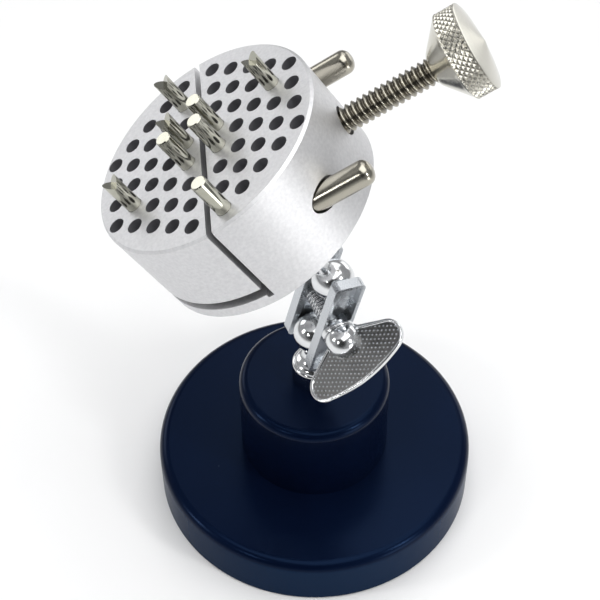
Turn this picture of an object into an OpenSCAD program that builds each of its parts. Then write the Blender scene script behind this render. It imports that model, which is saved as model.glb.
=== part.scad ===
// Universal work holder: a split round head with a field of peg holes, held at any angle
// by a two-ball clamp on a heavy round base.
// Millimetres, +Z up, origin in the middle of the base's underside.

/* [Base] */
// Diameter of the base disc
base_d = 88; // [80:1:100]
// Height of the disc's top face above the bench
base_top = 15.6; // [13:0.2:18]
// Rounding of the disc's top edge
base_edge = 2.8; // [1:0.2:4]
// Diameter of the post
post_d = 41; // [36:0.5:46]
// Height of the post's top face above the bench
post_top = 42.3; // [38:0.1:46]
// Rounding of the post's top edge
post_edge = 2.4; // [1:0.2:4]
// Thickness of the rubber pad
pad_h = 2; // [1.5:0.1:3]

/* [Ball studs] */
// Diameter of the two balls
ball_d = 11; // [10.6:0.1:11.4]
// Height of a ball's centre above the seat of its stud
stud_h = 18.4; // [17:0.1:21]
// Diameter of the collar that seats the stud
collar_d = 12; // [10:0.5:14]
// Height of the collar
collar_h = 7; // [5:0.2:8]
// Diameter of the neck under the ball
neck_d = 4.4; // [3.6:0.1:4.6]
// Diameter of the stud's shank
shank_d = 6; // [5:0.5:7]

/* [Ball clamp] */
// Distance between the two ball centres
ball_span = 21.6; // [20:0.1:24]
// Lean of the clamp from upright, degrees
clamp_lean = 12.5; // [-30:0.5:30]
// Turn of the clamp about its own length, degrees
clamp_turn = 25; // [0:1:40]
// Length of a pressed plate
plate_l = 33; // [32:0.5:38]
// Width of a pressed plate
plate_w = 8.6; // [7.6:0.1:9.4]
// Thickness of the plate's sheet
sheet = 1; // [0.8:0.1:1.2]
// Height of the plate's turned-out rim, with the sheet
rim_h = 2.9; // [2.6:0.1:4]
// Clear distance between the two plates
plate_gap = 10; // [9.8:0.1:10.6]

/* [Clamp lever] */
// Diameter of the clamp screw
lever_d = 4; // [3.5:0.1:4.2]
// Diameter of the round boss
boss_d = 9; // [8:0.1:10]
// Width of the wing across its corners
wing_w = 29.4; // [24:0.2:34]
// Distance from the middle of the clamp to the wing's outer edge
wing_reach = 24.2; // [23:0.1:28]
// Thickness of the wing
wing_t = 1.4; // [1.2:0.1:2.4]
// Turn of the wing about its screw, degrees
wing_turn = 49; // [0:1:180]
// Distance of the wing's middle plane behind the middle of the boss
wing_set = 1; // [0:0.1:1.4]
// Mean diameter of the spring
spring_d = 5.2; // [5:0.1:5.6]
// Diameter of the spring's wire
wire_d = 0.5; // [0.4:0.05:0.5]

/* [Head] */
// Diameter of the head
head_d = 60; // [59:0.5:66]
// Height of the moving jaw
jaw_h = 21.3; // [21:0.1:24]
// Height of the slit under the moving jaw
slit_h = 1.9; // [1.2:0.1:2.4]
// Thickness of the floor under the slit
floor_h = 3.6; // [3:0.1:5]
// Width of the slot between the jaws
slot_w = 1.5; // [1.2:0.1:2]
// Diameter of the hub under the head
hub_d = 20; // [16:0.5:26]
// Height of the hub
hub_h = 10.6; // [9:0.1:14]
// Tilt of the head from level, degrees
head_tilt = 33; // [-30:1:40]
// Turn of the head about its axis, degrees
head_turn = 5.7; // [-180:0.1:180]

/* [Peg holes] */
// Diameter of a peg hole
hole_d = 4; // [3.6:0.1:4.2]
// Depth of a peg hole
hole_depth = 9.5; // [8:0.1:9.8]
// Distance between holes along the slot
hole_pitch = 7; // [6.6:0.1:7.1]
// Distance between columns of holes
column_step = 5.17; // [4.9:0.01:5.25]
// Distance from the jaw's edge to its first column
column_inset = 3.55; // [3:0.05:3.6]
// Holes in the column next to the slot
longest_column = 8; // [8]
// Columns of holes in each jaw
column_count = 5; // [3:1:5]

/* [Pegs] */
// Height of a peg above the face
peg_stand = 9.6; // [8:0.1:16]
// Depth of the notch in a vee peg
vee_depth = 2; // [1.5:0.1:3]

/* [Jaw drive] */
// Depth of the screw and the guide rods below the face
drive_depth = 14.1; // [13.8:0.1:14.6]
// Diameter of the jaw screw
screw_d = 6.4; // [6:0.1:6.6]
// Length of screw that stands out of the head
screw_out = 23.5; // [18:0.5:28]
// Diameter of a guide rod
rod_d = 6; // [5:0.1:6.4]
// Distance of each guide rod's axis from the head's edge
rod_inset = 10.2; // [10:0.1:14]
// Length of a guide rod's tip beyond the head's own radius
rod_out = 4.5; // [2:0.5:8]
// Diameter of the knob
knob_d = 21.2; // [18:0.5:26]
// Width of the knob's knurled band
knob_band = 5; // [4:0.2:8]

/* [Fits] */
// Radial clearance of a turning or sliding fit
running_fit = 0.05; // [0.03:0.01:0.08]
// Radial relief where the screw's and the rods' bores open at the head's side
relief = 0.5; // [0.2:0.05:0.6]
// Gap between two faces that turn on each other
face_gap = 0.1; // [0.05:0.01:0.2]

/* [Hidden] */
$fn = 96;
over = 1;
chamfer = 0.6;
head_r = head_d / 2;
ball_r = ball_d / 2;
head_h = jaw_h + slit_h + floor_h;
pad_proud = 0.6;
pad_inset = 4;
lower_ball = [0, 0, post_top + stud_h];
clamp_axis = [sin(clamp_lean), 0, cos(clamp_lean)];
upper_ball = lower_ball + ball_span * clamp_axis;
clamp_middle = lower_ball + ball_span / 2 * clamp_axis;
head_axis = [-sin(head_tilt), 0, cos(head_tilt)];
head_rise = stud_h + hub_h + head_h;
head_centre = upper_ball + head_rise * head_axis;
// Room left beyond the end of a screw, a shank or a peg in its blind hole
end_gap = 0.5;
shank_l = 9;
cap_h = 5;
cap_d = 13;
cap_play = 1;
socket_d = 6.9;
socket_h = 3;
bolt_d = 8;
bolt_play = 0.3;
bolt_grip = 10.5;
web_y = plate_gap / 2;
rim_y = web_y + rim_h;
washer_h = 1.5;
washer_y = rim_y + washer_h;
washer_rim = 0.1;
nut_h = 3;
nut_flats = plate_w - 2 * sheet - 2 * running_fit;
// Distance from the washer to the middle of the ball-shaped boss, as a share of its diameter
boss_share = 0.255;
boss_y = washer_y + boss_share * boss_d;
journal_d = 5;
journal_l = 11;
journal_room = 1;
pin_d = 1.5;
pin_set = 7;
pin_x = -slot_w / 2 - pin_set;
pin_l = jaw_h - drive_depth + journal_d / 2;
groove_d = 3.6;
pin_y = groove_d / 2 + running_fit + pin_d / 2;
screw_end = head_r + screw_out;
spigot_step = 1;
spigot_r = screw_d / 2 - spigot_step;
knob_grip = 9;
rod_offset = head_r - rod_inset;
rod_reach = head_r + rod_out;
rod_sunk = 15;
relief_x = head_r / 2;
peg_d = hole_d - 2 * running_fit;
peg_sunk = hole_depth - end_gap;

// Pegs in the photographed places: jaw side, column, row, kind of top, turn of the top
pegs = [
    [+1, 4, +1.0, "vee", 26],
    [-1, 1, +2.5, "vee", 12],
    [-1, 4, -1.0, "vee", 24],
    [+1, 1, -3.5, "plain", 0],
    [+1, 1, +0.5, "plain", 0],
    [+1, 1, -0.5, "plain", 0],
    [-1, 1, +0.5, "vee", 20],
    [-1, 1, -0.5, "plain", 0],
];

// Middle of a peg hole on the face, as x across the slot and y along it
function hole_x(side, column) = side * (slot_w / 2 + column_inset + column_step * (column - 1));
function hole_y(row) = row * hole_pitch;
function column_holes(column) = longest_column + 1 - column;

// Frames: the head's has its origin in the middle of the face, the clamp's between the balls
module at_head() {
    translate(head_centre)
        rotate([0, -head_tilt, 0])
            rotate([0, 0, head_turn])
                children();
}

module at_clamp() {
    translate(clamp_middle)
        rotate([0, clamp_lean, 0])
            rotate([0, 0, clamp_turn])
                children();
}

// Cylinder along +X or -Y from a start coordinate to an end coordinate
module along_x(d, from, to) {
    translate([from, 0, 0])
        rotate([0, 90, 0])
            cylinder(d = d, h = to - from);
}

module along_y(d, from, to) {
    translate([0, to, 0])
        rotate([90, 0, 0])
            cylinder(d = d, h = to - from);
}

// Half section of a round body with a rounded top edge
module rounded_section(r, low, high, edge) {
    translate([0, low])
        square([r - edge, high - low]);
    translate([0, low])
        square([r, high - low - edge]);
    translate([r - edge, high - edge])
        circle(edge);
}

// Base
module base_disc() {
    color("midnightblue")
        difference() {
            rotate_extrude()
                rounded_section(base_d / 2, pad_proud, base_top, base_edge);
            translate([0, 0, pad_proud - over])
                cylinder(r = base_d / 2 - pad_inset, h = pad_h - pad_proud + over);
            cylinder(d = bolt_d + 2 * bolt_play, h = base_top + over);
            cylinder(d = cap_d + 2 * cap_play, h = base_top - cap_h);
        }
}

module base_post() {
    color("midnightblue")
        difference() {
            rotate_extrude()
                rounded_section(post_d / 2, base_top, post_top, post_edge);
            translate([0, 0, base_top - over])
                cylinder(d = bolt_d, h = bolt_grip + end_gap + over);
            translate([0, 0, post_top - shank_l - end_gap])
                cylinder(d = shank_d + 2 * running_fit, h = shank_l + over);
        }
}

module base_pad() {
    color("dimgray")
        cylinder(r = base_d / 2 - pad_inset, h = pad_h);
}

module base_screw() {
    cap_top = base_top - cap_h;
    color("gray")
        difference() {
            union() {
                translate([0, 0, cap_top - cap_h])
                    cylinder(d = cap_d, h = cap_h);
                translate([0, 0, cap_top - over])
                    cylinder(d = bolt_d, h = cap_h + over + bolt_grip);
            }
            translate([0, 0, cap_top - cap_h - over])
                cylinder(d = socket_d, h = socket_h + over, $fn = 6);
        }
}

// Ball stud with its seat at the origin and its ball on +Z
module ball_stud() {
    neck_r = neck_d / 2;
    collar_r = collar_d / 2;
    foot_w = 1;
    foot_h = 0.4;
    cone_top = (collar_h + stud_h - ball_r) / 2;
    translate([0, 0, stud_h])
        sphere(d = ball_d);
    rotate_extrude()
        polygon([
            [0, -shank_l],
            [shank_d / 2 - chamfer, -shank_l],
            [shank_d / 2, -shank_l + chamfer],
            [shank_d / 2, face_gap],
            [collar_r - chamfer / 2, face_gap],
            [collar_r, face_gap + chamfer / 2],
            [collar_r, collar_h - chamfer],
            [collar_r - chamfer, collar_h],
            [neck_r + foot_w, collar_h + foot_h],
            [neck_r, cone_top],
            [neck_r, stud_h],
            [0, stud_h],
        ]);
}

module lower_stud() {
    color("silver")
        translate([0, 0, post_top])
            ball_stud();
}

module upper_stud() {
    color("silver")
        at_head()
            translate([0, 0, -head_rise + stud_h])
                rotate([180, 0, 0])
                    ball_stud();
}

// Pressed plate on the +Y side of the clamp: a web with seats for the balls and a rim turned out
module clamp_plate() {
    corner = 1.6;
    difference() {
        plate_outline(plate_w, plate_l, corner, web_y, rim_y);
        plate_outline(plate_w - 2 * sheet, plate_l - 2 * sheet, corner - sheet, web_y + sheet, rim_y + over);
        along_y(lever_d + 4 * running_fit, 0, rim_y + over);
        for (end = [-1, 1])
            translate([0, 0, end * ball_span / 2])
                sphere(r = ball_r + running_fit);
    }
}

// Upright block with rounded corners, from one Y to another
module plate_outline(w, l, corner, from, to) {
    translate([0, to, 0])
        rotate([90, 0, 0])
            linear_extrude(to - from) {
                square([w - 2 * corner, l], center = true);
                square([w, l - 2 * corner], center = true);
                for (x = [-1, 1], y = [-1, 1])
                    translate([x * (w / 2 - corner), y * (l / 2 - corner)])
                        circle(corner);
            }
}

module clamp_plate_back() {
    color("gainsboro")
        at_clamp()
            clamp_plate();
}

module clamp_plate_front() {
    color("gainsboro")
        at_clamp()
            rotate([0, 0, 180])
                clamp_plate();
}

// Spring round the clamp screw: a helix with eight rings a turn and six sides to the wire
spring_turns = 9;
turn_rings = 8;
wire_sides = 6;
spring_rings = spring_turns * turn_rings;
ring_angle = 360 / turn_rings;
side_angle = 360 / wire_sides;
spring_half = web_y - wire_d / 2;
spring_line = [
    for (ring = [0:spring_rings])
        [
            spring_d / 2 * cos(ring_angle * ring),
            -spring_half + 2 * spring_half * ring / spring_rings,
            spring_d / 2 * sin(ring_angle * ring)
        ]
];
// Least distance between wire surfaces more than half a turn apart, measured on the rings
spring_gap = min([
    for (i = [0:spring_rings], j = [i + turn_rings / 2 + 1:1:spring_rings])
        norm(spring_line[i] - spring_line[j]) - wire_d
]);
echo(spring_least_gap = spring_gap);

function spring_point(ring, side) =
    let (
        turn = ring_angle * ring,
        reach = spring_d / 2 + wire_d / 2 * cos(side_angle * side),
        along = -spring_half + 2 * spring_half * ring / spring_rings + wire_d / 2 * sin(side_angle * side)
    )
    [reach * cos(turn), along, reach * sin(turn)];

module clamp_spring() {
    points = [for (ring = [0:spring_rings], side = [0:wire_sides - 1]) spring_point(ring, side)];
    wall = [
        for (ring = [0:spring_rings - 1], side = [0:wire_sides - 1])
            let (a = wire_sides * ring + side, b = wire_sides * ring + (side + 1) % wire_sides)
            each [[a, b + wire_sides, b], [a, a + wire_sides, b + wire_sides]]
    ];
    last = wire_sides * spring_rings;
    start_cap = [for (side = [1:wire_sides - 2]) [0, side, side + 1]];
    end_cap = [for (side = [1:wire_sides - 2]) [last, last + side + 1, last + side]];
    color("lightsteelblue")
        at_clamp()
            polyhedron(points, concat(wall, start_cap, end_cap));
}

module clamp_nut() {
    color("silver")
        at_clamp()
            difference() {
                translate([-nut_flats / 2, web_y + sheet, -nut_flats / 2])
                    cube([nut_flats, nut_h, nut_flats]);
                along_y(lever_d + 2 * running_fit, web_y, rim_y + nut_h);
            }
}

module clamp_washer() {
    color("silver")
        at_clamp()
            difference() {
                along_y(plate_w + 2 * washer_rim, -washer_y, -rim_y);
                along_y(lever_d + 4 * running_fit, -washer_y - over, -rim_y + over);
            }
}

// Wing outline with the screw's axis on +Y: straight flanks, round corners and a round outer edge
corner_r = 4.6;
corner_share = 0.58;
flank_lift = 0.2;
flank_inset = 0.5;
flank_y = washer_y + flank_lift;
flank_x = boss_d / 2 - flank_inset;
corner_y = flank_y + corner_share * (wing_reach - flank_y);
corner_x = wing_w / 2 - corner_r;
sag = wing_reach - corner_y;
edge_r = (corner_x * corner_x + sag * sag - corner_r * corner_r) / (2 * (sag - corner_r));
edge_y = wing_reach - edge_r;

function arc(x, y, r, from, to, steps) =
    [for (i = [0:steps]) let (a = from + (to - from) * i / steps) [x + r * cos(a), y + r * sin(a)]];

function wing_half(inset) =
    let (
        swing = atan2(corner_y - edge_y, corner_x),
        lean = atan2(corner_y - corner_r - flank_y, corner_x - flank_x)
    )
    concat(
        [[flank_x - inset, flank_y + inset]],
        arc(corner_x, corner_y, corner_r - inset, lean - 90, swing, 8),
        arc(0, edge_y, edge_r - inset, swing, 90, 12)
    );

function mirrored(points) = [for (i = [len(points) - 1:-1:0]) [-points[i][0], points[i][1]]];

module wing_outline(inset) {
    half = wing_half(inset);
    polygon(concat(half, mirrored(half)));
}

module clamp_lever() {
    dish = 0.3;
    wing_rim = 1.1;
    screw_tip = 1.5;
    screw_root = 2;
    foot_y = washer_y + face_gap / 2;
    color("silver")
        at_clamp()
            rotate([0, -wing_turn, 0])
                rotate([0, 0, 180]) {
                    along_y(lever_d, -rim_y - screw_tip, foot_y + screw_root);
                    difference() {
                        translate([0, boss_y, 0])
                            rotate([90, 0, 0])
                                rotate([0, 0, 90])
                                    sphere(d = boss_d);
                        translate([-boss_d, foot_y - boss_d, -boss_d])
                            cube([2 * boss_d, boss_d, 2 * boss_d]);
                    }
                    translate([0, 0, -wing_set - wing_t / 2])
                        difference() {
                            linear_extrude(wing_t)
                                wing_outline(0);
                            for (side = [-1, 1])
                                translate([0, 0, side * (wing_t - dish)])
                                    linear_extrude(wing_t)
                                        wing_outline(wing_rim);
                        }
                }
}

// Head: one turned blank, cut into a fixed and a moving jaw
module head_blank(low, high) {
    rotate_extrude()
        polygon([
            [0, low],
            [head_r - chamfer, low],
            [head_r, low + chamfer],
            [head_r, high - chamfer],
            [head_r - chamfer, high],
            [0, high],
        ]);
}

module peg_holes(side) {
    for (column = [1:column_count]) {
        count = column_holes(column);
        for (i = [0:count - 1])
            translate([hole_x(side, column), hole_y(i - (count - 1) / 2), -hole_depth])
                cylinder(d = hole_d, h = hole_depth + over, $fn = 24);
    }
}

module rod_bores(d, from, to) {
    for (side = [-1, 1])
        translate([0, side * rod_offset, -drive_depth])
            along_x(d, from, to);
}

module fixed_jaw() {
    floor_z = -jaw_h - slit_h;
    groove_h = 1;
    color("whitesmoke")
        at_head()
            difference() {
                union() {
                    head_blank(-head_h, 0);
                    translate([0, 0, -head_h - hub_h])
                        cylinder(d = hub_d, h = hub_h + over);
                }
                translate([-head_d, -head_d, floor_z])
                    cube([head_d + slot_w / 2, 2 * head_d, head_h]);
                translate([-slot_w / 2, -head_d, floor_z - groove_h])
                    cube([slot_w, 2 * head_d, groove_h + over]);
                peg_holes(+1);
                rod_bores(rod_d + 2 * running_fit, 0, head_d);
                rod_bores(rod_d + 2 * relief, relief_x, head_d);
                translate([0, 0, -drive_depth]) {
                    along_x(screw_d + 2 * running_fit, 0, head_d);
                    along_x(screw_d + 2 * relief, relief_x, head_d);
                }
                translate([0, 0, -head_h - hub_h - over])
                    cylinder(d = shank_d + 2 * running_fit, h = shank_l + end_gap + over);
            }
}

module moving_jaw() {
    color("whitesmoke")
        at_head()
            difference() {
                intersection() {
                    head_blank(-jaw_h, 0);
                    translate([-head_d - slot_w / 2, -head_d, -head_d])
                        cube([head_d, 2 * head_d, 2 * head_d]);
                }
                peg_holes(-1);
                rod_bores(rod_d, -rod_sunk, 0);
                translate([0, 0, -drive_depth])
                    along_x(journal_d + 2 * running_fit, -slot_w / 2 - journal_l - journal_room, 0);
                translate([pin_x, pin_y, -jaw_h - over])
                    cylinder(d = pin_d, h = pin_l + over);
            }
}

module guide_rod(side) {
    tip = 1.2;
    color("silver")
        at_head()
            translate([0, side * rod_offset, -drive_depth])
                rotate([0, 90, 0])
                    rotate_extrude()
                        polygon([
                            [0, -rod_sunk],
                            [rod_d / 2, -rod_sunk],
                            [rod_d / 2, rod_reach - 2 * tip],
                            [rod_d / 2 - 0.4 * tip, rod_reach - tip],
                            [rod_d / 2 - 1.4 * tip, rod_reach],
                            [0, rod_reach],
                        ]);
}

module guide_rod_front() {
    guide_rod(-1);
}

module guide_rod_rear() {
    guide_rod(+1);
}

module screw_pin() {
    color("gray")
        at_head()
            translate([pin_x, pin_y, -jaw_h])
                cylinder(d = pin_d, h = pin_l);
}

// Jaw screw along +X: a grooved journal in the moving jaw, then the thread
module jaw_screw() {
    shoulder = -slot_w / 2 + face_gap;
    groove = pin_d / 2 + running_fit;
    color("silver")
        at_head()
            translate([0, 0, -drive_depth])
                rotate([0, 90, 0])
                    rotate_extrude()
                        polygon([
                            [0, shoulder - journal_l],
                            [journal_d / 2, shoulder - journal_l],
                            [journal_d / 2, pin_x - groove],
                            [groove_d / 2, pin_x - groove],
                            [groove_d / 2, pin_x + groove],
                            [journal_d / 2, pin_x + groove],
                            [journal_d / 2, shoulder],
                            [screw_d / 2, shoulder],
                            [screw_d / 2, screw_end],
                            [spigot_r, screw_end],
                            [spigot_r, screw_end + knob_grip],
                            [0, screw_end + knob_grip],
                        ]);
}

// Knob: a smooth front cone from the screw, a knurled band and a shallow polished back cone
module thumb_knob() {
    front = 6;
    back = 2.1;
    bevel = 0.5;
    face_w = 0.3;
    lip_w = 1;
    lip_h = 0.6;
    knob_r = knob_d / 2;
    color("silver")
        at_head()
            translate([screw_end, 0, -drive_depth])
                rotate([0, 90, 0])
                    rotate_extrude()
                        polygon([
                            [spigot_r, 0],
                            [screw_d / 2 + face_w, 0],
                            [screw_d / 2 + face_w + lip_w, lip_h],
                            [knob_r - bevel, front - bevel],
                            [knob_r, front],
                            [knob_r, front + knob_band],
                            [knob_r - bevel, front + knob_band + bevel / 2],
                            [0, front + knob_band + back],
                            [0, knob_grip],
                            [spigot_r, knob_grip],
                        ]);
}

// Peg in its hole, with a plain or a vee top
module peg(number) {
    spec = pegs[number - 1];
    ease = 0.25;
    color("silver")
        at_head()
            translate([hole_x(spec[0], spec[1]), hole_y(spec[2]), 0])
                rotate([0, 0, spec[4]])
                    difference() {
                        rotate_extrude()
                            polygon([
                                [0, -peg_sunk],
                                [peg_d / 2 - ease, -peg_sunk],
                                [peg_d / 2, ease - peg_sunk],
                                [peg_d / 2, peg_stand - ease],
                                [peg_d / 2 - ease, peg_stand],
                                [0, peg_stand],
                            ]);
                        if (spec[3] == "vee")
                            vee_cut();
                    }
}

module vee_cut() {
    spare = 0.2;
    half_w = peg_d / 2 + spare;
    translate([0, peg_d, peg_stand])
        rotate([90, 0, 0])
            linear_extrude(2 * peg_d)
                polygon([[-half_w, 0], [0, -vee_depth], [half_w, 0], [half_w, over], [-half_w, over]]);
}

base_disc();
base_post();
base_pad();
base_screw();
lower_stud();
upper_stud();
clamp_plate_front();
clamp_plate_back();
clamp_spring();
clamp_nut();
clamp_washer();
clamp_lever();
fixed_jaw();
moving_jaw();
guide_rod_front();
guide_rod_rear();
screw_pin();
jaw_screw();
thumb_knob();
peg(1);  // peg_1
peg(2);  // peg_2
peg(3);  // peg_3
peg(4);  // peg_4
peg(5);  // peg_5
peg(6);  // peg_6
peg(7);  // peg_7
peg(8);  // peg_8
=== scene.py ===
# %% [markdown]
# # A universal work holder, dressed for its photograph
# The object is a bench tool for small work: a split aluminium head with a field of peg holes,
# a thumb screw that opens its jaws, a two-ball clamp that holds the head at any angle, and a
# heavy enamelled base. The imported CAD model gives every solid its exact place. This lesson
# keeps the solids whose shape is already right, gives them real finishes, and replaces the
# ones whose surface has more to show: thread, knurl, spring, polished balls, plates and wing.

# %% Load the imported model
import math

import bmesh
import bpy
import numpy as np
from mathutils import Matrix, Vector


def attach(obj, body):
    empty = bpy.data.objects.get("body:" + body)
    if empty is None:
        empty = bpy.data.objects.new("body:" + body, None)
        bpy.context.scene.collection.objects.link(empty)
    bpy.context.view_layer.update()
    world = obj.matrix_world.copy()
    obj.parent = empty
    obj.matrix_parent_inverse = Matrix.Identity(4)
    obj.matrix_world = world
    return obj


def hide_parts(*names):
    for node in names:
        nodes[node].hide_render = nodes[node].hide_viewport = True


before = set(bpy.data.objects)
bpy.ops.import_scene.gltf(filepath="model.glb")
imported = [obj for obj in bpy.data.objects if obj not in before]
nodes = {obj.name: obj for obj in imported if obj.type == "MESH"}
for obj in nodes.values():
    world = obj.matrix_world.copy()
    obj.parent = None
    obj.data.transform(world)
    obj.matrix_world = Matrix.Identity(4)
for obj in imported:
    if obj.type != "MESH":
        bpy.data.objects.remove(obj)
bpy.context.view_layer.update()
MM = 0.001

# %% [markdown]
# ## Frames of the pieces
# The head leans 33 degrees and the clamp leans and twists, so few pieces lie along the world's
# axes. One could model each piece upright and turn its object, but a finished piece must sit
# at the origin unturned. So each piece is worked out in a frame of its own, in millimetres,
# and the frame carries its points into the world before they go into the mesh.

# %% Turn matrices and the frames


def turn(axis, degrees):
    """Matrix that turns a point about one world axis by the right-hand rule."""
    return np.array(Matrix.Rotation(math.radians(degrees), 3, axis))


def along_axis(frame_of, x, y, z):
    """The same frame with its origin moved to a point given in that frame."""
    origin, axes = frame_of
    return origin + axes @ np.array([x, y, z], float), axes


def turned_frame(frame_of, axis, degrees):
    """The same frame turned about one of its own axes."""
    return frame_of[0], frame_of[1] @ turn(axis, degrees)


HEAD_TILT, HEAD_TURN = 33.0, 5.7
CLAMP_LEAN, CLAMP_TURN, WING_TURN = 12.5, 25.0, 49.0
POST_TOP, STUD_H, BALL_SPAN, HEAD_RISE = 42.3, 18.4, 21.6, 55.8
DRIVE_DEPTH, ROD_OFFSET = 14.1, 19.8

WORLD = (np.zeros(3), np.eye(3))
head_axes = turn("Y", -HEAD_TILT) @ turn("Z", HEAD_TURN)
to_head = Matrix(head_axes.T.tolist())
clamp_axes = turn("Y", CLAMP_LEAN) @ turn("Z", CLAMP_TURN)
lower_ball = np.array([0.0, 0.0, POST_TOP + STUD_H])
upper_ball = lower_ball + BALL_SPAN * clamp_axes[:, 2]
HEAD = (upper_ball + HEAD_RISE * head_axes[:, 2], head_axes)
CLAMP = (0.5 * (lower_ball + upper_ball), clamp_axes)
LEVER = turned_frame(turned_frame(CLAMP, "Y", -WING_TURN), "Z", 180)
LEVER_LINE = turned_frame(LEVER, "X", -90)
DRIVE = turned_frame(along_axis(HEAD, 0, 0, -DRIVE_DEPTH), "Y", 90)
print("face centre in mm:", np.round(HEAD[0], 2), "face normal:", np.round(head_axes[:, 2], 3))

# %% [markdown]
# ## Surfaces from arrays
# Every new piece here is a grid of points: rows along a profile, columns round an axis or
# along an outline. Blender's own Spin or Screw tools could turn a profile too, but an array
# keeps the formula in sight, and a ring may then change its radius on the way round, which is
# just what a thread and a knurl do.

# %% Grid faces, turned surfaces and the piece maker


def grid_quads(rows, columns, ring_rows=False):
    """Four-sided faces between neighbouring rows and columns; columns always close on themselves."""
    row = np.arange(rows if ring_rows else rows - 1)[:, None]
    column = np.arange(columns)[None, :]
    after_row, after_column = (row + 1) % rows, (column + 1) % columns
    corners = np.broadcast_arrays(
        row * columns + column,
        row * columns + after_column,
        after_row * columns + after_column,
        after_row * columns + column,
    )
    return np.stack(corners, axis=2).reshape(-1, 4)


def close_ends(points, rows, columns):
    """Adds a middle point to the first and the last row, and the fans that close them."""
    ends = points.reshape(rows, columns, 3)[[0, -1]].mean(axis=1)
    first, last = np.arange(columns), np.arange(columns) + (rows - 1) * columns
    low, high = np.full(columns, len(points)), np.full(columns, len(points) + 1)
    fans = np.vstack([
        np.stack([low, np.roll(first, -1), first], axis=1),
        np.stack([high, last, np.roll(last, -1)], axis=1),
    ])
    return np.vstack([points, ends]), fans


def turned(profile, sides, depth=None, ring=False):
    """Turned body: row i is the circle (r cos a, r sin a, z) of profile point i = (r, z).
    depth, if given, is cut from the radius point by point. The ends are closed by fans,
    or the last row is joined to the first where the profile is that of a ring."""
    angle = np.linspace(0, 2 * np.pi, sides, endpoint=False)
    radius = np.repeat(profile[:, :1], sides, axis=1)
    if depth is not None:
        radius = radius - depth
    height = np.repeat(profile[:, 1:], sides, axis=1)
    rings = np.stack([radius * np.cos(angle), radius * np.sin(angle), height], axis=2)
    if ring:
        return rings.reshape(-1, 3), grid_quads(len(profile), sides, ring_rows=True).tolist()
    points, fans = close_ends(rings.reshape(-1, 3), len(profile), sides)
    return points, grid_quads(len(profile), sides).tolist() + fans.tolist()


def arc(x, y, radius, start, end, steps):
    """Points of a circle's arc about (x, y), from one angle to another in degrees."""
    angle = np.radians(np.linspace(start, end, steps))
    return np.stack([x + radius * np.cos(angle), y + radius * np.sin(angle)], axis=1)


def make_piece(name, shape, frame_of, finish, body, node, sharp=40, groove=None):
    """Puts points and faces into a mesh at its place, attaches it to its body and hides the CAD solid
    that it replaces.
    The attribute along_mm keeps each point's height in its own frame, for marks that follow it.
    groove, from 0 to 1, says how much painted shade lies on the first points: deep in the cuts of the
    thread and the knurl, and down between the pips."""
    points, faces = shape
    origin, axes = frame_of
    mesh = bpy.data.meshes.new(name)
    mesh.from_pydata((origin + points @ axes.T) * MM, [], faces)
    along = mesh.attributes.new("along_mm", "FLOAT", "POINT")
    along.data.foreach_set("value", points[:, 2].astype(np.float32))
    if groove is not None:
        share = np.zeros(len(points), np.float32)
        share[:groove.size] = groove.ravel()
        mesh.attributes.new("groove", "FLOAT", "POINT").data.foreach_set("value", share)
    mesh.materials.append(finish)
    mesh.shade_smooth()
    mesh.set_sharp_from_angle(angle=math.radians(sharp))
    piece = bpy.data.objects.new(name, mesh)
    bpy.context.scene.collection.objects.link(piece)
    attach(piece, body)
    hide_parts(node)
    print(f"{name}: {len(mesh.vertices)} points, {len(mesh.polygons)} faces, on {body}")


# %% [markdown]
# ## Finishes
# A finish starts from what the real surface is and how it was made. Its colours are written
# as sRGB hex, as one reads them from a colour picker, and one function turns them to the
# linear values that Blender mixes. One more function adds a node with its settings and links.

# %% Colour and node helpers


def linear(code):
    """sRGB hex to linear RGBA: below 0.04045 divide by 12.92, above it ((c + 0.055) / 1.055)^2.4."""
    c = np.array([int(code[i:i + 2], 16) for i in (1, 3, 5)]) / 255
    c = np.where(c <= 0.04045, c / 12.92, ((c + 0.055) / 1.055) ** 2.4)
    return (*c.tolist(), 1.0)


def add(tree, kind, inputs=None, **settings):
    """Adds one node: settings are its own properties, inputs are values or other nodes' sockets."""
    made = tree.nodes.new(kind)
    for name, value in settings.items():
        setattr(made, name, value)
    for name, value in (inputs or {}).items():
        if isinstance(value, bpy.types.NodeSocket):
            tree.links.new(value, made.inputs[name])
        else:
            made.inputs[name].default_value = value
    return made


def new_finish(name):
    """An empty material with its node tree."""
    made = bpy.data.materials.new(name)
    made.use_nodes = True
    made.node_tree.nodes.clear()
    return made, made.node_tree


def per_mm(size):
    """Scale of a pattern whose grain is that many millimetres wide, on coordinates in metres."""
    return 1 / (size * MM)
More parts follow.
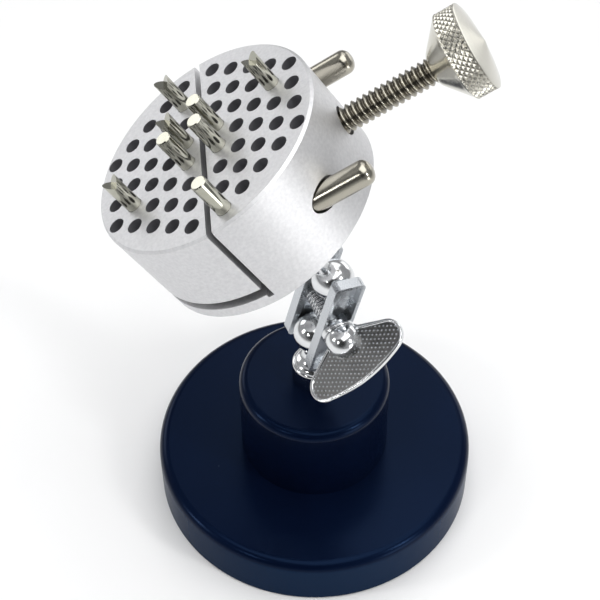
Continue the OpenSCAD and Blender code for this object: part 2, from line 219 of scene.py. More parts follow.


# %% [markdown]
# ### Navy enamel
# The base is cast iron with a stoved navy enamel. The eye gets a deep, nearly black blue on
# the flats, a lighter blue where it turns towards the light, and a slight orange peel, the
# ripple of sprayed paint. White gloss would turn the flats grey, so the gloss is tinted blue.
# A few specks of dust lie in the paint, as in the photograph.
# The disc's side wall is painted a lighter blue, a painted reflection of the bright floor it faces, and
# has less gloss than its top, so both follow the height.

# %% Stoved navy enamel
WALL_TOP, GLOSS_START = 12.8, 14.0
enamel, tree = new_finish("stoved_navy_enamel")
place = add(tree, "ShaderNodeTexCoord").outputs["Object"]
cloud = add(tree, "ShaderNodeTexNoise", {"Vector": place, "Scale": per_mm(22), "Detail": 3.0})
blue = add(tree, "ShaderNodeMixRGB", {
    "Fac": cloud.outputs["Fac"], "Color1": linear("#040A1C"), "Color2": linear("#061027")})
height = add(tree, "ShaderNodeSeparateXYZ", {"Vector": place}).outputs["Z"]
above = add(tree, "ShaderNodeMapRange", {
    "Value": height, "From Min": WALL_TOP * MM, "From Max": GLOSS_START * MM},
    interpolation_type="SMOOTHSTEP").outputs[0]
# Painted reflection: below the gloss line the side wall takes a lighter blue that stands in for the
# bright floor it faces.
painted_wall_reflection = add(tree, "ShaderNodeMixRGB", {
    "Fac": above, "Color1": linear("#10243E"), "Color2": blue.outputs[0]})
shine = add(tree, "ShaderNodeMapRange", {"Value": above, "To Min": 0.02, "To Max": 0.17})
speck = add(tree, "ShaderNodeTexVoronoi", {"Vector": place, "Scale": per_mm(7)})
spot = add(tree, "ShaderNodeMath", {0: speck.outputs["Distance"], 1: 0.02}, operation="LESS_THAN")
share = add(tree, "ShaderNodeMath", {0: spot.outputs[0], 1: 0.35}, operation="MULTIPLY")
dust_and_wall_reflection = add(tree, "ShaderNodeMixRGB", {
    "Fac": share.outputs[0], "Color1": painted_wall_reflection.outputs[0], "Color2": linear("#5A6675")})
peel = add(tree, "ShaderNodeTexNoise", {"Vector": place, "Scale": per_mm(1.6), "Detail": 2.0})
ripple = add(tree, "ShaderNodeBump", {
    "Height": peel.outputs["Fac"], "Strength": 0.35, "Distance": 0.03 * MM})
gloss = add(tree, "ShaderNodeMapRange", {
    "Value": cloud.outputs["Fac"], "To Min": 0.20, "To Max": 0.28})
shader = add(tree, "ShaderNodeBsdfPrincipled", {
    "Base Color": dust_and_wall_reflection.outputs[0], "Roughness": gloss.outputs[0], "Normal": ripple.outputs[0],
    "Specular IOR Level": shine.outputs[0], "Specular Tint": linear("#70A0E6")})
add(tree, "ShaderNodeOutputMaterial", {"Surface": shader.outputs[0]})
print("finish:", enamel.name)

# %% [markdown]
# ### Bead-blasted aluminium
# The head was turned, drilled and then blasted with glass beads. That leaves a pale, dull, finely pitted
# skin. The peg-hole walls are painted a darker grey, as painted shade for the depth of the holes.
# A second material on the hole faces would need a changed mesh, so the finish finds them
# instead: in the head's own frame, no other surface lies just under the face and off the slot.
# Real bead pits are about 0.1 mm wide; they are drawn at 0.3 mm so that they show.

# %% Bead-blasted aluminium with painted shade in the peg holes
SLOT_CLEAR, FACE_SKIN, HOLE_FLOOR, HOLE_REACH = 1.2, 0.1, 9.8, 29.42
blasted, tree = new_finish("bead_blasted_aluminium")
place = add(tree, "ShaderNodeTexCoord").outputs["Object"]
in_head = add(tree, "ShaderNodeMapping", {
    "Vector": place,
    "Location": -(to_head @ Vector(HEAD[0] * MM)),
    "Rotation": to_head.to_euler("XYZ")})
part = add(tree, "ShaderNodeSeparateXYZ", {"Vector": in_head.outputs[0]})
off_slot = add(tree, "ShaderNodeMath", {0: part.outputs["X"]}, operation="ABSOLUTE")
level = add(tree, "ShaderNodeVectorMath", {
    0: in_head.outputs[0], 1: (1.0, 1.0, 0.0)}, operation="MULTIPLY")
reach = add(tree, "ShaderNodeVectorMath", {0: level.outputs[0]}, operation="LENGTH")
tests = [
    (off_slot.outputs[0], "GREATER_THAN", SLOT_CLEAR),
    (part.outputs["Z"], "LESS_THAN", -FACE_SKIN),
    (part.outputs["Z"], "GREATER_THAN", -HOLE_FLOOR),
    (reach.outputs["Value"], "LESS_THAN", HOLE_REACH),
]
passed = [
    add(tree, "ShaderNodeMath", {0: socket, 1: limit * MM}, operation=test).outputs[0]
    for socket, test, limit in tests
]
hole_shade_mask = passed[0]
for test in passed[1:]:
    hole_shade_mask = add(tree, "ShaderNodeMath", {0: hole_shade_mask, 1: test}, operation="MULTIPLY").outputs[0]
mottle = add(tree, "ShaderNodeTexNoise", {"Vector": place, "Scale": per_mm(0.8), "Detail": 4.0})
pits = add(tree, "ShaderNodeTexNoise", {"Vector": place, "Scale": per_mm(0.3), "Detail": 2.0})
skin = add(tree, "ShaderNodeMixRGB", {
    "Fac": mottle.outputs["Fac"], "Color1": linear("#C6C6C8"), "Color2": linear("#E4E4E5")})
# Painted shade: the peg-hole walls take a darker grey for the depth of the holes.
metal = add(tree, "ShaderNodeMixRGB", {
    "Fac": hole_shade_mask, "Color1": skin.outputs[0], "Color2": linear("#AEAEB2")})
dull = add(tree, "ShaderNodeMapRange", {
    "Value": pits.outputs["Fac"], "To Min": 0.42, "To Max": 0.62})
pitted = add(tree, "ShaderNodeBump", {
    "Height": pits.outputs["Fac"], "Strength": 0.5, "Distance": 0.03 * MM})
shader = add(tree, "ShaderNodeBsdfPrincipled", {
    "Base Color": metal.outputs[0], "Metallic": 1.0, "Roughness": dull.outputs[0],
    "Normal": pitted.outputs[0]})
add(tree, "ShaderNodeOutputMaterial", {"Surface": shader.outputs[0]})
print("finish:", blasted.name)

# %% [markdown]
# ### Bright metals
# The other metals differ in how they were worked. Chrome plate on the balls mirrors the room,
# with faint wipe marks. The pressed plates were tumbled, so their steel is satin with fine
# scratches. Screw, rods and knob were turned and nickelled: warm, bright, with fine rings that
# follow their own length. Screw and rods carry a film of oil, which darkens them. The pegs were
# ground, and the wing was stamped.

# %% Plated, tumbled, turned, oiled, ground, stamped and drawn metals
# Painted shade: the groove attribute darkens cuts and the ground between pips towards this dull brown.
GROOVE_SHADE_BROWN, GROOVE_SHADE_SHARE = "#4E4940", 0.8


def bright_metal(name, low, high, rough, grain, depth, rings=False, stretch=None):
    """A metal between two colours and two roughnesses, with worked marks of a grain and depth in mm.
    rings takes the marks from along_mm, stretch turns and scales the marks' own space."""
    made, tree = new_finish(name)
    place = add(tree, "ShaderNodeTexCoord").outputs["Object"]
    if stretch:
        place = add(tree, "ShaderNodeMapping", {
            "Vector": place, "Rotation": stretch[0], "Scale": stretch[1]}).outputs[0]
    smear = add(tree, "ShaderNodeTexNoise", {"Vector": place, "Scale": per_mm(5), "Detail": 3.0})
    if rings:
        height = add(tree, "ShaderNodeAttribute", attribute_name="along_mm").outputs["Fac"]
        marks = add(tree, "ShaderNodeTexNoise", {
            "W": height, "Scale": 1 / grain, "Detail": 2.0}, noise_dimensions="1D")
    else:
        marks = add(tree, "ShaderNodeTexNoise", {
            "Vector": place, "Scale": per_mm(grain), "Detail": 2.0})
    clean = add(tree, "ShaderNodeMixRGB", {
        "Fac": smear.outputs["Fac"], "Color1": linear(low), "Color2": linear(high)})
    groove = add(tree, "ShaderNodeAttribute", attribute_name="groove").outputs["Fac"]
    # Painted shade in the cuts and between the pips, read from the groove attribute.
    groove_shade = add(tree, "ShaderNodeMath", {0: groove, 1: GROOVE_SHADE_SHARE}, operation="MULTIPLY")
    tone = add(tree, "ShaderNodeMixRGB", {
        "Fac": groove_shade.outputs[0], "Color1": clean.outputs[0], "Color2": linear(GROOVE_SHADE_BROWN)})
    worn = add(tree, "ShaderNodeMath", {
        0: smear.outputs["Fac"], 1: marks.outputs["Fac"]}, operation="MULTIPLY")
    gloss = add(tree, "ShaderNodeMapRange", {
        "Value": worn.outputs[0], "From Max": 0.5, "To Min": rough[0], "To Max": rough[1]})
    bump = add(tree, "ShaderNodeBump", {
        "Height": marks.outputs["Fac"], "Strength": 0.4, "Distance": depth * MM})
    shader = add(tree, "ShaderNodeBsdfPrincipled", {
        "Base Color": tone.outputs[0], "Metallic": 1.0, "Roughness": gloss.outputs[0],
        "Normal": bump.outputs[0]})
    add(tree, "ShaderNodeOutputMaterial", {"Surface": shader.outputs[0]})
    print("finish:", made.name)
    return made


chrome = bright_metal(
    "polished_chrome_plate", "#D6D8DA", "#E6E7E8", rough=(0.12, 0.20), grain=3.0, depth=0.002)
tumbled = bright_metal(
    "tumbled_steel_sheet", "#B9BDC1", "#CCCFD3", rough=(0.22, 0.36), grain=0.35, depth=0.012)
nickel = bright_metal(
    "turned_bright_nickel", "#C6C3B8", "#D6D4CA", rough=(0.12, 0.24), grain=0.12, depth=0.004, rings=True)
oiled = bright_metal(
    "oiled_turned_nickel", "#A09C90", "#B2AEA2", rough=(0.16, 0.28), grain=0.12, depth=0.004, rings=True)
ground = bright_metal(
    "ground_steel_rod", "#9E9D90", "#B4B3A8", rough=(0.08, 0.20), grain=0.6, depth=0.003,
    stretch=(to_head.to_euler("XYZ"), (0.3, 0.3, 3.0)))
stamped = bright_metal(
    "stamped_nickel_sheet", "#B0B5BB", "#C4C9CF", rough=(0.24, 0.38), grain=0.25, depth=0.010)
drawn = bright_metal(
    "drawn_spring_wire", "#AEB0B2", "#C3C5C7", rough=(0.18, 0.30), grain=0.4, depth=0.004)
zinc = bright_metal(
    "zinc_plated_steel", "#A9ADB3", "#C2C6CB", rough=(0.28, 0.42), grain=0.5, depth=0.008)

# %% [markdown]
# ### Rubber
# The pad under the base is moulded black rubber, dull and a little dusty.

# %% Moulded rubber
rubber, tree = new_finish("moulded_black_rubber")
place = add(tree, "ShaderNodeTexCoord").outputs["Object"]
dust = add(tree, "ShaderNodeTexNoise", {"Vector": place, "Scale": per_mm(9), "Detail": 4.0})
grain = add(tree, "ShaderNodeTexNoise", {"Vector": place, "Scale": per_mm(0.5), "Detail": 2.0})
tone = add(tree, "ShaderNodeMixRGB", {
    "Fac": dust.outputs["Fac"], "Color1": linear("#1D1E20"), "Color2": linear("#323335")})
bump = add(tree, "ShaderNodeBump", {
    "Height": grain.outputs["Fac"], "Strength": 0.5, "Distance": 0.05 * MM})
shader = add(tree, "ShaderNodeBsdfPrincipled", {
    "Base Color": tone.outputs[0], "Roughness": 0.8, "Normal": bump.outputs[0]})
add(tree, "ShaderNodeOutputMaterial", {"Surface": shader.outputs[0]})
print("finish:", rubber.name)

# %% [markdown]
# ## Solids that stay
# The jaws, the pegs, the base and the small hidden parts are exact in the CAD model, so their
# solids stay and only take the finish of their material slot. The other solids take it too, and
# are then replaced one by one.

# %% Give the CAD solids their finishes
slot_finishes = {
    "navy_enamel": enamel, "blasted_aluminium": blasted, "rubber": rubber, "zinc_steel": zinc,
    "chrome": chrome, "satin_steel": tumbled, "spring_steel": drawn, "nickel_steel": nickel,
    "ground_steel": ground,
}
for solid in nodes.values():
    worn_slot = solid.material_slots[0]
    worn_slot.material = slot_finishes[worn_slot.material.name]
print("finished solids:", len(nodes))

# %% [markdown]
# ## Ball studs
# Each stud is one turned and chromed piece: a shank in its hole, a collar, a waisted neck and
# the ball that the clamp grips. A sphere primitive would show its facets in a mirror finish,
# so the whole stud is one turned profile with a fine arc for the ball.

# %% Turn the two ball studs
BALL_R, COLLAR_R, COLLAR_H, NECK_R, SHANK_R, SHANK_L = 5.5, 6.0, 7.0, 2.2, 3.0, 9.0
SHANK_CHAMFER, SEAT_GAP, FOOT_R, CROWN_R, WAIST_R, WAIST_STEP = 0.6, 0.1, 0.35, 1.0, 4.0, 0.4
BALL_POLE, BALL_SIDES = 89.9, 96
neck_angle = math.degrees(math.asin(NECK_R / BALL_R))
stud_profile = np.vstack([
    [[SHANK_R - SHANK_CHAMFER, -SHANK_L], [SHANK_R, SHANK_CHAMFER - SHANK_L], [SHANK_R, SEAT_GAP]],
    arc(COLLAR_R - FOOT_R, SEAT_GAP + FOOT_R, FOOT_R, -90, 0, 6),
    arc(COLLAR_R - CROWN_R, COLLAR_H - CROWN_R, CROWN_R, 0, 80, 10),
    arc(NECK_R + WAIST_R, COLLAR_H + WAIST_R + WAIST_STEP, WAIST_R, 248, 180, 12),
    arc(0, STUD_H, BALL_R, neck_angle - 90, BALL_POLE, 60),
])
print("stud profile points:", len(stud_profile))
lower_seat = along_axis(WORLD, 0, 0, POST_TOP)
upper_seat = turned_frame(along_axis(HEAD, 0, 0, STUD_H - HEAD_RISE), "X", 180)
for name, seat, body in (("lower", lower_seat, "lower_ball"), ("upper", upper_seat, "upper_ball")):
    make_piece(f"{name}_ball_stud", turned(stud_profile, BALL_SIDES), seat, chrome, body,
               f"{name}_stud")

# %% [markdown]
# ## Pressed plates
# Each clamp plate is a shallow tray pressed from steel sheet and tumbled, so none of its edges
# is sharp. The CAD tray has the right sizes but plain edges, and a plain edge never catches
# the light. A copy of it gets its doubled points merged, its flat faces made whole, and its
# edges rounded by a bevel.

# %% Ease the edges of the plates
PLATE_EASE, SAME_POINT, FLAT_ANGLE, EDGE_ANGLE = 0.22, 0.0005, math.radians(1), math.radians(35)


def eased_copy(name, node, ease, finish, body):
    """Copies a CAD solid, merges its points and rounds every edge sharper than the edge angle."""
    work = bmesh.new()
    work.from_mesh(nodes[node].data)
    bmesh.ops.remove_doubles(work, verts=work.verts, dist=SAME_POINT * MM)
    bmesh.ops.dissolve_limit(work, angle_limit=FLAT_ANGLE, verts=work.verts, edges=work.edges)
    mesh = bpy.data.meshes.new(name)
    work.to_mesh(mesh)
    work.free()
    if "custom_normal" in mesh.attributes:
        mesh.attributes.remove(mesh.attributes["custom_normal"])
    mesh.materials.clear()
    mesh.materials.append(finish)
    mesh.shade_smooth()
    mesh.set_sharp_from_angle(angle=EDGE_ANGLE)
    piece = bpy.data.objects.new(name, mesh)
    bevel = piece.modifiers.new("eased_edges", "BEVEL")
    bevel.width, bevel.segments, bevel.harden_normals = ease * MM, 3, True
    bevel.limit_method, bevel.angle_limit = "ANGLE", EDGE_ANGLE
    bpy.context.scene.collection.objects.link(piece)
    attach(piece, body)
    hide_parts(node)
    print(f"{name}: {len(mesh.polygons)} faces before the bevel of {ease} mm")


for side in ("front", "back"):
    plate = f"clamp_plate_{side}"
    eased_copy(f"{plate}_eased", plate, PLATE_EASE, tumbled, "clamp")

# %% [markdown]
# ## Clamp spring
# A short compression spring round the clamp screw pushes the plates apart when the lever is
# slack. The wire is a round tube whose middle follows a helix. A curve with a bevel would
# do it too; the array gives every ring its place by the formula.

# %% Wind the spring
SPRING_R, WIRE_R, SPRING_TURNS, SPRING_HALF = 2.6, 0.25, 9, 4.75
TURN_RINGS, WIRE_SIDES = 48, 12


def coiled(coil_r, wire_r, turns, half, rows, sides):
    """Helix tube: the middle is (R cos t, s, R sin t) with s from -half to half, and each ring
    is the circle of the wire's radius in the plane of the radial and the upright direction."""
    t = np.linspace(0, 2 * np.pi * turns, rows)[:, None]
    a = np.linspace(0, 2 * np.pi, sides, endpoint=False)[None, :]
    reach = coil_r + wire_r * np.cos(a)
    rise = half * (t / (np.pi * turns) - 1) + wire_r * np.sin(a)
    points = np.stack([reach * np.cos(t), rise, reach * np.sin(t)], axis=2).reshape(-1, 3)
    points, fans = close_ends(points, rows, sides)
    return points, grid_quads(rows, sides).tolist() + fans.tolist()


coil = coiled(SPRING_R, WIRE_R, SPRING_TURNS, SPRING_HALF, TURN_RINGS * SPRING_TURNS, WIRE_SIDES)
make_piece("clamp_coil_spring", coil, CLAMP, drawn, "clamp", "clamp_spring")

# %% [markdown]
# ## Clamp lever
# The lever is a polished ball on the clamp screw with a flat wing for thumb and finger. The
# ball and screw are one turned profile. The wing has a bright rim, a profile carried along
# its outline, and inside the rim a sheet stamped with rows of raised pips. A bump map would
# only shade the pips, so they are part of the sheet's height.

# %% Turn the lever's ball and screw
WASHER_Y, BOSS_R, LEVER_R = 9.4, 4.5, 2.0
BOSS_SHARE, FOOT_GAP, SCREW_TIP_Y, TIP_CHAMFER = 0.255, 0.05, -9.4, 0.4
boss_y = WASHER_Y + BOSS_SHARE * 2 * BOSS_R
foot_y = WASHER_Y + FOOT_GAP
foot_angle = math.degrees(math.asin((foot_y - boss_y) / BOSS_R))
lever_profile = np.vstack([
    [[LEVER_R - TIP_CHAMFER, SCREW_TIP_Y], [LEVER_R, SCREW_TIP_Y + TIP_CHAMFER], [LEVER_R, foot_y]],
    arc(0, boss_y, BOSS_R, foot_angle, BALL_POLE, 60),
])
make_piece("lever_ball_and_screw", turned(lever_profile, BALL_SIDES), LEVER_LINE, chrome, "lever",
           "clamp_lever")

# %% Round the washer under the ball
WASHER_R, WASHER_BORE, WASHER_H, WASHER_EASE = 4.4, 2.1, 1.5, 0.3
washer_low = WASHER_Y - WASHER_H
washer_profile = np.vstack([
    [[WASHER_BORE, washer_low]],
    arc(WASHER_R - WASHER_EASE, washer_low + WASHER_EASE, WASHER_EASE, -90, 0, 8),
    arc(WASHER_R - WASHER_EASE, WASHER_Y - WASHER_EASE, WASHER_EASE, 0, 90, 8),
    [[WASHER_BORE, WASHER_Y]],
])
make_piece("clamp_washer_ring", turned(washer_profile, BALL_SIDES, ring=True), LEVER_LINE, chrome,
           "clamp", "clamp_washer")

# %% Carry the rim's profile along the wing's outline
WING_W, WING_REACH, WING_T, CORNER_R, WING_SET = 29.4, 24.2, 1.4, 4.6, 1.0
FLANK_INSET, FLANK_LIFT, CORNER_SHARE = 0.5, 0.2, 0.58
WING = along_axis(LEVER, 0, 0, -WING_SET)
flank_x, flank_y = BOSS_R - FLANK_INSET, WASHER_Y + FLANK_LIFT
corner_x, corner_y = WING_W / 2 - CORNER_R, flank_y + CORNER_SHARE * (WING_REACH - flank_y)
sag = WING_REACH - corner_y
edge_r = (corner_x**2 + sag**2 - CORNER_R**2) / (2 * (sag - CORNER_R))
edge_y = WING_REACH - edge_r
swing = math.degrees(math.atan2(corner_y - edge_y, corner_x))
flank_lean = math.degrees(math.atan2(corner_y - CORNER_R - flank_y, corner_x - flank_x))


def wing_outline(inset):
    """Right half of the wing's outline, drawn in by an inset: flank, round corner, outer arc."""
    return np.vstack([
        [[flank_x - inset, flank_y + inset]],
        arc(corner_x, corner_y, CORNER_R - inset, flank_lean - 90, swing, 24),
        arc(0, edge_y, edge_r - inset, swing, 90, 40)[1:],
    ])


RIM_W, RIM_R, RIM_SLOPE, RIM_SUNK, DISH = 0.8, 0.35, 0.2, 0.1, 0.3
half_t, dish_z = WING_T / 2, WING_T / 2 - DISH
upper_rim = np.vstack([
    arc(RIM_R, half_t - RIM_R, RIM_R, 180, 90, 7),
    [[RIM_W - RIM_SLOPE, half_t], [RIM_W, half_t - RIM_SUNK], [RIM_W + RIM_SLOPE, dish_z - RIM_SUNK]],
])
rim_profile = np.vstack([upper_rim[::-1] * [1, -1], upper_rim])
outlines = [wing_outline(inset) for inset in rim_profile[:, 0]]
loops = np.array([np.vstack([half, half[-2::-1] * [-1, 1]]) for half in outlines])
heights = np.repeat(rim_profile[:, 1:], loops.shape[1], axis=1)
rim_points = np.dstack([loops, heights]).reshape(-1, 3)
rim_faces = grid_quads(len(rim_profile), loops.shape[1], ring_rows=True).tolist()
make_piece("lever_wing_rim", (rim_points, rim_faces), WING, chrome, "lever",
           "clamp_lever")

# %% Stamp the sheet inside the rim
PIP_X, PIP_Y, PIP_R, PIP_H = 1.81, 1.39, 0.34, 0.16
# The last value says how strongly the ground between the pips is painted with shade.
SHEET_COLUMNS, SHEET_ROWS, SHEET_REACH, SHEET_TUCK, PIP_GROUND_SHADE = 280, 140, 0.995, 0.1, 0.95


def pip_height(x, y):
    """Rows of pips on a centred lattice: height H (1 - (d / R)^2)^2 at distance d from a pip."""
    def gap(v, pitch):
        return (v + pitch / 2) % pitch - pitch / 2
    first = gap(x, PIP_X) ** 2 + gap(y, PIP_Y) ** 2
    second = gap(x + PIP_X / 2, PIP_X) ** 2 + gap(y + PIP_Y / 2, PIP_Y) ** 2
    near = np.minimum(first, second) / PIP_R**2
    return PIP_H * np.clip(1 - near, 0, None) ** 2


def stamped_sheet(inset):
    """Sheet between the wing's lower and upper outline: y runs from one to the other over each x,
    and both skins stand off the middle plane by the dish's height and the pips, which fade out
    near the rim. With it comes how far each point lies down between the pips, from 0 to 1."""
    half = wing_outline(inset)
    tip = int(np.argmax(half[:, 0]))
    x = np.linspace(-1, 1, SHEET_COLUMNS)[:, None] * half[tip, 0] * SHEET_REACH
    low = np.interp(np.abs(x), half[:tip + 1, 0], half[:tip + 1, 1])
    high = np.interp(np.abs(x), half[:tip - 1:-1, 0], half[:tip - 1:-1, 1])
    y = low + (high - low) * np.linspace(0, 1, SHEET_ROWS)[None, :]
    x = np.repeat(x, SHEET_ROWS, axis=1)
    clear = np.clip((np.minimum(y - low, high - y) - PIP_R) / PIP_R, 0, 1)
    z = dish_z + clear * pip_height(x, y)
    across = np.concatenate([x, x[:, ::-1]], axis=1)
    along = np.concatenate([y, y[:, ::-1]], axis=1)
    height = np.concatenate([-z, z[:, ::-1]], axis=1)
    points = np.stack([across, along, height], axis=2).reshape(-1, 3)
    points, fans = close_ends(points, SHEET_COLUMNS, 2 * SHEET_ROWS)
    faces = grid_quads(SHEET_COLUMNS, 2 * SHEET_ROWS)
    between = 1 - (np.abs(height) - dish_z) / PIP_H
    return (points, faces.tolist() + fans.tolist()), between


sheet, between_pips = stamped_sheet(RIM_W - SHEET_TUCK)
make_piece("lever_wing_grip", sheet, WING, stamped, "lever", "clamp_lever", sharp=60,
           groove=PIP_GROUND_SHADE * between_pips)

# %% [markdown]
# ## Guide rods
# Two nickelled rods keep the jaws square. They are pressed into the moving jaw and slide
# through the fixed one, and their free ends are rounded like a bullet.

# %% Turn the guide rods
ROD_R, ROD_SUNK, ROD_REACH, ROD_NOSE, NOSE_START, ROD_SIDES = 3.0, 15.0, 34.5, 2.8, 0.1, 64
nose = np.linspace(0, 0.999, 24)
rod_profile = np.vstack([
    [[ROD_R, z] for z in (-ROD_SUNK, 0.0, ROD_SUNK, ROD_REACH - ROD_NOSE - NOSE_START)],
    np.stack([ROD_R * np.sqrt(1 - nose**3), ROD_REACH - ROD_NOSE * (1 - nose)], axis=1),
])
for name, side in (("front", -1), ("rear", 1)):
    make_piece(f"guide_rod_{name}_nickel", turned(rod_profile, ROD_SIDES),
               along_axis(DRIVE, 0, side * ROD_OFFSET, 0), oiled, "jaw",
               f"guide_rod_{name}")

# %% [markdown]
# ## Jaw screw
# A coarse screw of 1.6 mm pitch draws the jaws together. A thread is a turned body whose
# radius follows the helix: at angle a and height z the groove is as deep as its profile at
# z / pitch - a / full turn. Modelled so, the thread turns and travels with the screw.

# %% Cut the thread
THREAD_R, THREAD_DEPTH, THREAD_PITCH, SCREW_END = 3.2, 0.78, 1.6, 53.5
JOURNAL_R, JOURNAL_L, SHOULDER, SHOULDER_STEP = 2.5, 11.0, -0.65, 0.8
SPIGOT_R, SPIGOT_L = THREAD_R - 1, 4.0
THREAD_SIDES, THREAD_ROWS, THREAD_CREST, THREAD_FLANK, THREAD_END = 72, 560, 0.10, 0.78, 0.01


def thread_depth(z, sides):
    """Groove depth: a triangle wave over the helix, with a narrow crest and a narrow root."""
    turn_share = np.linspace(0, 1, sides, endpoint=False)[None, :]
    wave = np.abs(2 * ((z[:, None] / THREAD_PITCH - turn_share) % 1) - 1)
    return THREAD_DEPTH * np.clip((wave - THREAD_CREST) / THREAD_FLANK, 0, 1)


thread_z = np.linspace(SHOULDER + THREAD_END, SCREW_END - THREAD_END, THREAD_ROWS)
journal = [[JOURNAL_R, SHOULDER - JOURNAL_L], [JOURNAL_R, SHOULDER], [THREAD_R - SHOULDER_STEP, SHOULDER]]
spigot = [[SPIGOT_R, SCREW_END], [SPIGOT_R, SCREW_END + SPIGOT_L]]
thread = np.stack([np.full_like(thread_z, THREAD_R), thread_z], axis=1)
screw_profile = np.vstack([journal, thread, spigot])
cut = np.vstack([
    np.zeros((len(journal), THREAD_SIDES)), thread_depth(thread_z, THREAD_SIDES),
    np.zeros((len(spigot), THREAD_SIDES)),
])
# The groove attribute paints shade into the thread's roots.
make_piece("jaw_screw_thread", turned(screw_profile, THREAD_SIDES, cut), DRIVE, oiled,
           "thumb_screw", "jaw_screw", sharp=50, groove=cut / THREAD_DEPTH)

# %% [markdown]
# ## Thumb knob
# The knob has a smooth cone towards the screw, a knurled band and a shallow polished cone at
# the back. The knurl is two families of grooves that cross at about forty-five degrees to the
# axis and leave rows of small pyramids. It is cut into the band's radius like the thread.

# %% Knurl the knob
KNOB_R, KNOB_FRONT, KNOB_BAND, KNOB_BACK = 10.6, 6.0, 5.0, 2.1
KNURLS, KNURL_LEAD, KNURL_DEPTH, KNURL_CREST, KNURL_FADE = 42, 1.5, 0.42, 0.12, 0.25
# The last value is the share of painted shade in the knurl's grooves.
KNOB_SIDES, BAND_ROWS, KNURL_SHADE = KNURLS * 12, 64, 0.5
band_end = KNOB_FRONT + KNOB_BAND


def knurl_depth(z, sides):
    """Depth of the deeper of two groove families, N a / full turn + z / lead and the same with - z,
    each a triangle wave with a flat crest, and none at the band's two edges."""
    around = KNURLS * np.linspace(0, 1, sides, endpoint=False)[None, :]
    lift = (z[:, None] - KNOB_FRONT - KNOB_BAND / 2) / KNURL_LEAD
    groove = np.maximum(np.abs(2 * ((around + lift) % 1) - 1), np.abs(2 * ((around - lift) % 1) - 1))
    edge = np.clip(np.minimum(z - KNOB_FRONT, band_end - z) / KNURL_FADE, 0, 1)[:, None]
    return KNURL_DEPTH * edge * np.clip((groove - KNURL_CREST) / (1 - KNURL_CREST), 0, 1)


band_z = np.linspace(KNOB_FRONT, band_end, BAND_ROWS)
knob_front = np.vstack([
    [[SPIGOT_R, 0.0], [THREAD_R + 0.3, 0.0], [THREAD_R + 0.9, 0.3]],
    # the cone, between the eased collar at the screw and the eased edge of the band
    np.linspace([THREAD_R + 1.3, 0.6], [KNOB_R - 0.6, KNOB_FRONT - 0.5], 10),
    [[KNOB_R - 0.3, KNOB_FRONT - 0.3], [KNOB_R - 0.1, KNOB_FRONT - 0.1]],
])
knob_back = np.vstack([
    [[KNOB_R - 0.1, band_end + 0.1], [KNOB_R - 0.35, band_end + 0.2]],
    # the shallow cone, between the eased edge of the band and its rounded tip
    np.linspace([KNOB_R - 0.8, band_end + 0.3], [0.9, band_end + KNOB_BACK - 0.12], 16),
    [[0.4, band_end + KNOB_BACK - 0.03], [0.05, band_end + KNOB_BACK]],
])
band = np.stack([np.full_like(band_z, KNOB_R), band_z], axis=1)
knob_profile = np.vstack([knob_front, band, knob_back])
cut = np.vstack([
    np.zeros((len(knob_front), KNOB_SIDES)), knurl_depth(band_z, KNOB_SIDES),
    np.zeros((len(knob_back), KNOB_SIDES)),
])
make_piece("thumb_knob_knurled", turned(knob_profile, KNOB_SIDES, cut),
           along_axis(DRIVE, 0, 0, SCREW_END), nickel, "thumb_screw", "thumb_knob",
           groove=KNURL_SHADE * cut / KNURL_DEPTH)

# %% [markdown]
# ## Camera, floor and light
# The camera stands where the photograph was taken: straight in front of the base, looking
# down at 49 degrees through a long lens. The floor is plain and pale. Six soft boxes and two
# narrow strips light the scene. The room between them is dim, and nearly dark on the camera's
# side, so that the chrome has something dark to show.

# %% Camera
CAMERA_TARGET, CAMERA_DISTANCE = np.array([-3.70, 0.0, 73.86]), 396.3
CAMERA_ELEVATION, CAMERA_ROLL, LENS = 49.205, -0.54, 93.0
elevation = math.radians(CAMERA_ELEVATION)
back = np.array([0.0, -math.cos(elevation), math.sin(elevation)])
camera = bpy.data.objects.new("camera", bpy.data.cameras.new("camera"))
camera.data.lens = LENS
camera.data.sensor_width = 36
camera.location = (CAMERA_TARGET + CAMERA_DISTANCE * back) * MM
stance = turn("X", 90 - CAMERA_ELEVATION) @ turn("Z", CAMERA_ROLL)
camera.rotation_euler = Matrix(stance.tolist()).to_euler()
bpy.context.scene.collection.objects.link(camera)
bpy.context.scene.camera = camera
print("camera at", np.round(camera.location, 4))

# %% Floor
FLOOR, FLOOR_DROP = 3.0, 0.05
floor_mesh = bpy.data.meshes.new("floor")
corners = np.array([[-1, -1, 0], [1, -1, 0], [1, 1, 0], [-1, 1, 0]]) * FLOOR
floor_mesh.from_pydata(corners, [], [[0, 1, 2, 3]])
paper, tree = new_finish("matt_white_paper")
shader = add(tree, "ShaderNodeBsdfPrincipled", {
    "Base Color": linear("#F4F4F4"), "Roughness": 0.9, "Specular IOR Level": 0.1})
add(tree, "ShaderNodeOutputMaterial", {"Surface": shader.outputs[0]})
floor_mesh.materials.append(paper)
floor = bpy.data.objects.new("floor", floor_mesh)
floor.location.z = -FLOOR_DROP * MM
bpy.context.scene.collection.objects.link(floor)
print("floor is", 2 * FLOOR, "m wide")

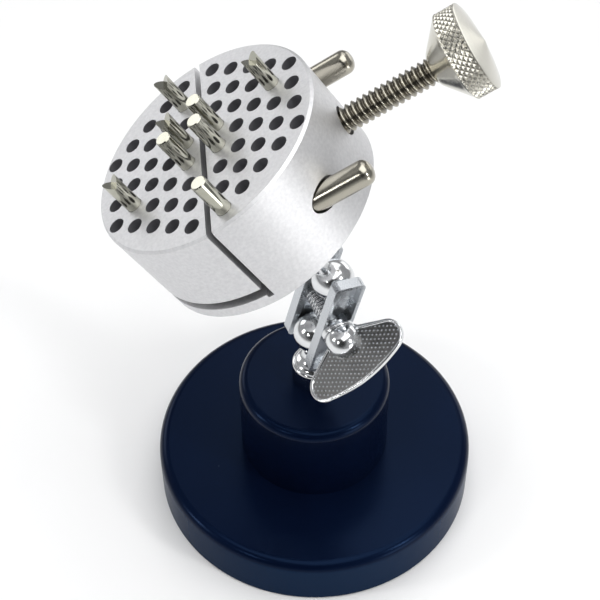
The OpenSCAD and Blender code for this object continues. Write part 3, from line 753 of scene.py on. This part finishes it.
# %% Soft boxes and the room
SOFT_BOXES = [
    # name, place in m, width and height in m, watts
    ("overhead", (0.05, -0.05, 0.75), (0.8, 0.7), 4.3),
    ("back_top", (0.14, 0.52, 0.65), (0.5, 0.4), 0.75),
    ("back_left", (-0.65, 0.58, 0.41), (0.40, 0.34), 0.95),
    ("left_strip", (-0.66, -0.14, 0.38), (0.07, 0.20), 0.85),
    ("front_left", (-0.405, -0.47, 0.42), (0.09, 0.09), 0.37),
    ("right_strip", (0.52, -0.35, 0.48), (0.07, 0.20), 1.2),
    ("low_right", (0.45, -0.38, 0.06), (0.25, 0.22), 0.75),
    ("back_right", (0.50, 0.65, 0.16), (0.45, 0.30), 0.6),
]
for name, spot, size, watts in SOFT_BOXES:
    box = bpy.data.lights.new(name, "AREA")
    box.shape, box.size, box.size_y, box.energy = "RECTANGLE", *size, watts
    lamp = bpy.data.objects.new(name, box)
    lamp.location = spot
    aim = Vector(CAMERA_TARGET * MM) - lamp.location
    lamp.rotation_euler = aim.to_track_quat("-Z", "Y").to_euler()
    bpy.context.scene.collection.objects.link(lamp)
ROOM, DARK_ROOM, DARK_START, DARK_FULL = 0.34, 0.034, 0.70, 0.93
DARK_SIDE = Vector((-0.28, -0.72, 0.62)).normalized()
world = bpy.data.worlds.new("studio")
world.use_nodes = True
tree = world.node_tree
tree.nodes.clear()
towards = add(tree, "ShaderNodeTexCoord").outputs["Generated"]
facing = add(tree, "ShaderNodeVectorMath", {
    0: towards, 1: DARK_SIDE}, operation="DOT_PRODUCT")
wall = add(tree, "ShaderNodeMapRange", {
    "Value": facing.outputs["Value"], "From Min": DARK_START, "From Max": DARK_FULL,
    "To Min": ROOM, "To Max": DARK_ROOM}, interpolation_type="SMOOTHSTEP")
room = add(tree, "ShaderNodeBackground", {
    "Color": linear("#FCFDFF"), "Strength": wall.outputs[0]})
add(tree, "ShaderNodeOutputWorld", {"Surface": room.outputs[0]})
bpy.context.scene.world = world
bpy.context.scene.view_settings.view_transform = "Standard"
print("soft boxes:", len(SOFT_BOXES))
